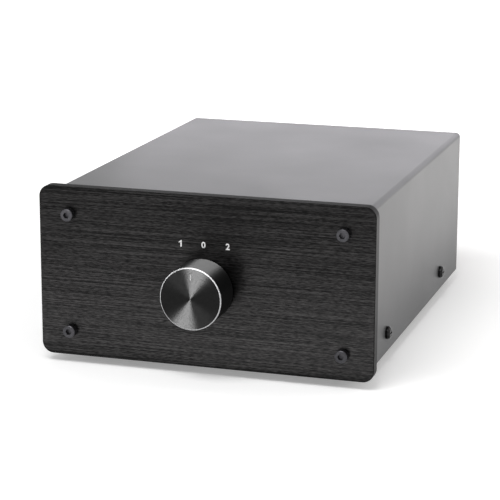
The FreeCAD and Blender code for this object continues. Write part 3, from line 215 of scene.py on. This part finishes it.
def turned_knob():
    """Black anodised knob: spun front face, pale bevelled ring and a painted index mark."""
    tree = Tree("turned_black_anodised")
    low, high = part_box("selector_knob")
    middle = (low + high) / 2
    radius = (high.x - low.x) / 2
    bevel = 0.4 * MM
    past_bevel = bevel * 1.02
    skin = 0.05 * MM
    mark_depth = 0.35 * MM
    mark_half_width = 0.26 * MM
    mark_inner_end = radius - 5.4 * MM
    mark_outer_end = radius - bevel - 1.0 * MM

    x, y, z = tree.split()
    across = tree.math("SUBTRACT", x, middle.x)
    up = tree.math("SUBTRACT", z, middle.z)
    square = tree.math("ADD", tree.math("MULTIPLY", across, across), tree.math("MULTIPLY", up, up))
    away = tree.math("SQRT", square)
    ring = tree.every(
        tree.math("GREATER_THAN", away, radius - past_bevel),
        tree.math("LESS_THAN", y, low.y + past_bevel),
    )
    face = tree.math("LESS_THAN", y, low.y + skin)
    side = tree.math("GREATER_THAN", y, low.y + past_bevel)
    mark = tree.every(
        tree.math("LESS_THAN", tree.math("ABSOLUTE", across), mark_half_width),
        tree.math("GREATER_THAN", y, low.y + skin),
        tree.math("LESS_THAN", y, low.y + mark_depth),
        tree.math("GREATER_THAN", up, mark_inner_end),
        tree.math("LESS_THAN", away, mark_outer_end),
    )

    grooves = tree.add("ShaderNodeTexNoise", noise_dimensions="1D")
    tree.feed(grooves.inputs["W"], tree.math("MULTIPLY", away, 9000.0))
    grooves.inputs["Detail"].default_value = 2.0
    lines = grooves.outputs["Fac"]
    dust = tree.noise(900.0)
    colour = tree.between(tree.spread(lines, NOISE_BAND, UNIT), rgb(0.010), rgb(0.026))
    colour = tree.between(tree.spread(dust, (0.3, 0.8), (0.0, 0.12)), colour, rgb(0.05))
    colour = tree.between(side, colour, rgb(0.008))
    colour = tree.between(ring, colour, rgb(0.62, 0.62, 0.63))
    colour = tree.between(mark, colour, rgb(0.42))
    roughness = tree.spread(lines, NOISE_BAND, (0.54, 0.60))
    roughness = tree.math("SUBTRACT", roughness, tree.math("MULTIPLY", side, 0.14))
    roughness = tree.math("ADD", roughness, tree.math("MULTIPLY", ring, 0.1))
    tree.bump(tree.math("MULTIPLY", lines, face), 0.01 * MM, 0.4)
    tangent = tree.add("ShaderNodeTangent", direction_type="RADIAL", axis="Y")
    tree.links.new(tangent.outputs[0], tree.shader.inputs["Tangent"])
    return tree.finish(
        base_color=colour,
        metallic=tree.math("SUBTRACT", 1.0, tree.math("ADD", mark, ring), clamp=True),
        roughness=roughness,
        anisotropic=1.0,
        anisotropic_rotation=0.25,
    )


def plain_metal(name, dark, light, rough):
    """Metal with slight stains and fine scratches."""
    tree = Tree(name)
    stain = tree.noise(900.0, 3.0, 0.6)
    both = tree.blend(stain, tree.noise(140.0), 0.5)
    tree.bump(stain, 0.01 * MM, 0.3)
    return tree.finish(
        base_color=tree.between(tree.spread(both, MIX_BAND, UNIT), dark, light),
        metallic=1.0,
        roughness=tree.spread(both, MIX_BAND, (rough - 0.06, rough + 0.06)),
    )


def plain_stuff(name, dark, light, rough, grain=1400.0, depth=0.01 * MM):
    """Moulded plastic, board, rubber or ink with a fine grain."""
    tree = Tree(name)
    fine = tree.noise(grain, 3.0, 0.6)
    both = tree.blend(fine, tree.noise(90.0), 0.6)
    tree.bump(fine, depth, 0.5)
    return tree.finish(
        base_color=tree.between(tree.spread(both, MIX_BAND, UNIT), dark, light),
        metallic=0.0,
        roughness=tree.spread(both, MIX_BAND, (rough - 0.05, rough + 0.05)),
    )


MATERIALS = {
    "panel": brushed_panel(),
    "paint": satin_paint(),
    "knob": turned_knob(),
    "black_screw": plain_metal("black_oxide_screw", rgb(0.050, 0.050, 0.054), rgb(0.085, 0.083, 0.090), 0.40),
    "side_screw": plain_metal("black_pan_screw", rgb(0.012), rgb(0.030), 0.22),
    "plated": plain_metal("zinc_plated_steel", rgb(0.42, 0.43, 0.45), rgb(0.60, 0.61, 0.64), 0.33),
    "spring": plain_metal("spring_steel", rgb(0.35, 0.35, 0.36), rgb(0.52, 0.52, 0.54), 0.25),
    "silvered": plain_metal("silvered_brass", rgb(0.62, 0.60, 0.54), rgb(0.80, 0.78, 0.72), 0.28),
    "gilded": plain_metal("gilded_brass", rgb(0.72, 0.50, 0.18), rgb(0.88, 0.66, 0.28), 0.22),
    "rubber": plain_stuff("black_rubber", rgb(0.012), rgb(0.022), 0.68, 900.0, 0.04 * MM),
    "nylon": plain_stuff("natural_nylon", rgb(0.72, 0.70, 0.62), rgb(0.80, 0.78, 0.70), 0.45),
    "board": plain_stuff("laminated_board", rgb(0.26, 0.13, 0.05), rgb(0.36, 0.20, 0.09), 0.5),
    "red": plain_stuff("red_moulded_plastic", rgb(0.42, 0.012, 0.012), rgb(0.50, 0.020, 0.018), 0.34),
    "black": plain_stuff("black_moulded_plastic", rgb(0.012), rgb(0.020), 0.36),
    "red_wire": plain_stuff("red_insulation", rgb(0.45, 0.02, 0.015), rgb(0.55, 0.035, 0.03), 0.42),
    "black_wire": plain_stuff("black_insulation", rgb(0.014), rgb(0.024), 0.42),
    "ink": plain_stuff("white_printing_ink", rgb(0.74), rgb(0.82), 0.5, 2200.0, 0.005 * MM),
}

FINISHES = {
    "front_panel": "panel",
    "top_cover": "paint",
    "chassis": "paint",
    "selector_knob": "knob",
    "panel_screws": "black_screw",
    "knob_set_screw": "side_screw",
    "cover_screws": "side_screw",
    "rubber_feet": "rubber",
    "shaft_clip": "spring",
    "detent_ball": "spring",
    "detent_spring": "spring",
    "detent_guide": "nylon",
    "switch_wafers": "board",
    "switch_rotors": "board",
    "switch_terminals": "silvered",
    "rotor_blades": "silvered",
    "soldering_lugs": "silvered",
    "post_shafts": "gilded",
    "post_nuts": "gilded",
    "post_collars_red": "red",
    "post_collars_black": "black",
    "post_insulators": "black",
    "wires_red": "red_wire",
    "wires_black": "black_wire",
}


def finish_of(name):
    """The finish of a CAD node by its name; small steel pieces are zinc plated."""
    if name in FINISHES:
        return FINISHES[name]
    if name.startswith("washer_"):
        return "gilded"
    if name.startswith("cap_"):
        return "red" if name.endswith("_plus") else "black"
    return "plated"


for name, item in nodes.items():
    material = MATERIALS[finish_of(name)]
    if not item.material_slots:
        item.data.materials.append(material)
    for slot in item.material_slots:
        slot.material = material


# Printed numbers

INK_HEIGHT = 0.04 * MM
DIGIT_HEIGHT = 2.8 * MM
DIGIT_WEIGHT = 0.03
DIGIT_LINE = 58.0 * MM
DIGITS = {"1": -10.4 * MM, "0": 0.0, "2": 10.8 * MM}

# The outline of a 1 with a flag, in heights of the digit, since the built-in font's is a bare bar.
ONE = ((0.25, 0), (0.48, 0), (0.48, 1), (0.31, 1), (0.19, 0.87), (0, 0.77), (0, 0.58), (0.25, 0.70))


def flat_digit(name, text):
    """A digit as a flat mesh, of its own outline or of the built-in font's."""
    if text == "1":
        flat = bpy.data.meshes.new(name)
        flat.from_pydata([(x, y, 0) for x, y in ONE], [], [tuple(range(len(ONE)))])
        return flat
    words = bpy.data.curves.new(name, "FONT")
    words.body = text
    words.size = 1.0
    words.align_x = "CENTER"
    words.offset = DIGIT_WEIGHT
    words.resolution_u = 6
    holder = bpy.data.objects.new(name + "_curve", words)
    bpy.context.scene.collection.objects.link(holder)
    bpy.context.view_layer.update()
    flat = bpy.data.meshes.new_from_object(holder.evaluated_get(bpy.context.evaluated_depsgraph_get()))
    bpy.data.objects.remove(holder)
    return flat


def digit(text, spot, facing):
    """A printed digit of ink on the panel, as a thin mesh, centred on its spot."""
    name = f"position_{text}"
    flat = flat_digit(name, text)
    low = Vector((min(v.co[axis] for v in flat.vertices) for axis in range(3)))
    high = Vector((max(v.co[axis] for v in flat.vertices) for axis in range(3)))
    scale = DIGIT_HEIGHT / (high.y - low.y)
    flat.transform(Matrix.Scale(scale, 4) @ Matrix.Translation(-(low + high) / 2))
    flat.transform(Matrix.Translation(spot) @ facing)
    piece = bpy.data.objects.new(name, flat)
    bpy.context.scene.collection.objects.link(piece)
    thick = piece.modifiers.new("thickness", "SOLIDIFY")
    thick.thickness = INK_HEIGHT
    thick.offset = 1.0
    flat.materials.clear()
    flat.materials.append(MATERIALS["ink"])
    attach(piece, "case")


panel_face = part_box("front_panel")[0].y
upright = Matrix.Rotation(math.radians(90), 4, "X")
for text, across in DIGITS.items():
    digit(text, Vector((across, panel_face, DIGIT_LINE)), upright)


# Floor, world, lamps and camera


def floor():
    """A wide pale floor that glows white to the camera and in gloss, less so near the object: a painted shade
    on the floor around the object, seen directly and in reflections.
    """
    half = 6.0
    near, far = 0.12, 0.7
    painted_shade_glow, far_glow = 0.28, 1.0
    mesh = bpy.data.meshes.new("floor")
    corners = [(-half, -half, 0), (half, -half, 0), (half, half, 0), (-half, half, 0)]
    mesh.from_pydata(corners, [], [(0, 1, 2, 3)])
    piece = bpy.data.objects.new("floor", mesh)
    bpy.context.scene.collection.objects.link(piece)
    tree = Tree("pale_floor")
    tree.finish(base_color=rgb(0.86), roughness=0.9, specular_ior_level=0.1)
    rays = tree.add("ShaderNodeLightPath").outputs
    away = tree.add("ShaderNodeVectorMath", operation="LENGTH")
    tree.feed(away.inputs[0], tree.place)
    seen = tree.math("ADD", rays["Is Camera Ray"], rays["Is Glossy Ray"], clamp=True)
    # Glow rises with distance from the object, so the floor near it is darker: painted shade, also seen in
    # the case's gloss.
    level = tree.spread(away.outputs["Value"], (near, far), (painted_shade_glow, far_glow))
    glow = tree.add("ShaderNodeEmission")
    glow.inputs["Color"].default_value = rgb(1.0)
    tree.feed(glow.inputs["Strength"], tree.math("MULTIPLY", seen, level))
    both = tree.add("ShaderNodeAddShader")
    tree.links.new(tree.shader.outputs[0], both.inputs[0])
    tree.links.new(glow.outputs[0], both.inputs[1])
    tree.links.new(both.outputs[0], tree.output.inputs["Surface"])
    mesh.materials.append(tree.material)


def world():
    """White to the camera, in gloss and through glass, and a soft grey light on the object."""
    on_the_object, as_background = 0.45, 1.0
    sky = bpy.data.worlds.new("studio")
    bpy.context.scene.world = sky
    sky.use_nodes = True
    tree = sky.node_tree
    back = tree.nodes["Background"]
    back.inputs["Color"].default_value = rgb(1.0)
    rays = tree.nodes.new("ShaderNodeLightPath").outputs
    total = rays["Is Camera Ray"]
    for ray in ("Is Glossy Ray", "Is Transmission Ray"):
        add = tree.nodes.new("ShaderNodeMath")
        add.operation = "ADD"
        add.use_clamp = True
        tree.links.new(total, add.inputs[0])
        tree.links.new(rays[ray], add.inputs[1])
        total = add.outputs[0]
    level = tree.nodes.new("ShaderNodeMapRange")
    tree.links.new(total, level.inputs["Value"])
    level.inputs["To Min"].default_value = on_the_object
    level.inputs["To Max"].default_value = as_background
    tree.links.new(level.outputs[0], back.inputs["Strength"])


def lamp(name, spot, target, size, power, colour=(1.0, 1.0, 1.0), gloss_on=()):
    """A soft box that faces its target, in metres and watts.

    One with gloss_on lights these nodes alone, and only in their gloss.
    """
    light = bpy.data.lights.new(name, "AREA")
    light.shape = "RECTANGLE"
    light.size, light.size_y = size
    light.energy = power
    light.color = colour
    item = bpy.data.objects.new(name, light)
    item.location = spot
    item.rotation_euler = (Vector(target) - Vector(spot)).to_track_quat("-Z", "Y").to_euler()
    item.visible_camera = False
    if gloss_on:
        item.visible_diffuse = False
        receivers = bpy.data.collections.new(name + "_receivers")
        for node in gloss_on:
            receivers.objects.link(nodes[node])
        item.light_linking.receiver_collection = receivers
    bpy.context.scene.collection.objects.link(item)


def card(name, x, y, **settings):
    """A lamp that lies just above the floor and faces up, for the floor's reflection."""
    lift = 0.002
    lamp(name, (x, y, lift), (x, y, 1.0), **settings)


def lamps():
    """The soft boxes, strips and cards around the object."""
    case = ("top_cover", "front_panel")
    lamp("key_softbox", (-0.10, -0.80, 1.10), (0.0, -0.05, 0.05), size=(0.80, 0.55), power=11.0)
    lamp(
        "near_back_strip",
        (0.03, 0.27, 0.14),
        (0.0, 0.0, 0.08),
        size=(0.45, 0.09),
        power=0.17,
        colour=(0.96, 0.92, 1.0),
        gloss_on=case,
    )
    lamp(
        "back_softbox",
        (-0.05, 0.60, 0.10),
        (0.0, 0.05, 0.07),
        size=(0.55, 0.14),
        power=0.15,
        colour=(0.97, 0.94, 1.0),
    )
    lamp(
        "side_softbox",
        (1.10, 0.45, 0.75),
        (0.0, 0.05, 0.06),
        size=(0.60, 0.60),
        power=3.0,
        colour=(1.0, 0.96, 0.93),
    )
    card("side_card", 0.21, 0.25, size=(0.20, 0.60), power=0.34, colour=(1.0, 0.97, 0.95), gloss_on=case)
    card("floor_card", -0.02, -0.165, size=(0.36, 0.11), power=0.38, gloss_on=("front_panel",))
    knob_face = (0.0, -0.11, 0.04)
    knob = ("selector_knob",)
    lamp("left_strip", (-0.80, -0.75, 0.32), knob_face, size=(0.20, 0.50), power=8.0, gloss_on=knob)
    lamp("strip", (-0.02, -0.75, 1.05), knob_face, size=(1.20, 0.50), power=390.0, gloss_on=knob)


def camera():
    """The photograph's view: angles in degrees, focal length in pixels of a 500 pixel frame."""
    spot = Vector((0.25392, -0.84563, 0.25097))
    azimuth, elevation, roll = (math.radians(angle) for angle in (17.339, 13.888, 0.150))
    focal, frame_width, sensor = 1920.1, 500.0, 36.0
    lens = bpy.data.cameras.new("camera")
    lens.sensor_width = sensor
    lens.lens = focal * sensor / frame_width
    lens.clip_start = 0.01
    lens.clip_end = 50.0
    ahead = Vector(
        (
            -math.sin(azimuth) * math.cos(elevation),
            math.cos(azimuth) * math.cos(elevation),
            -math.sin(elevation),
        )
    )
    right = Vector((math.cos(azimuth), math.sin(azimuth), 0.0))
    up = right.cross(ahead)
    rolled_right = right * math.cos(roll) + up * math.sin(roll)
    rolled_up = up * math.cos(roll) - right * math.sin(roll)
    item = bpy.data.objects.new("camera", lens)
    turn = Matrix((rolled_right, rolled_up, -ahead)).transposed().to_4x4()
    item.matrix_world = Matrix.Translation(spot) @ turn
    bpy.context.scene.collection.objects.link(item)
    bpy.context.scene.camera = item


floor()
world()
lamps()
camera()
bpy.context.scene.view_settings.view_transform = "Standard"
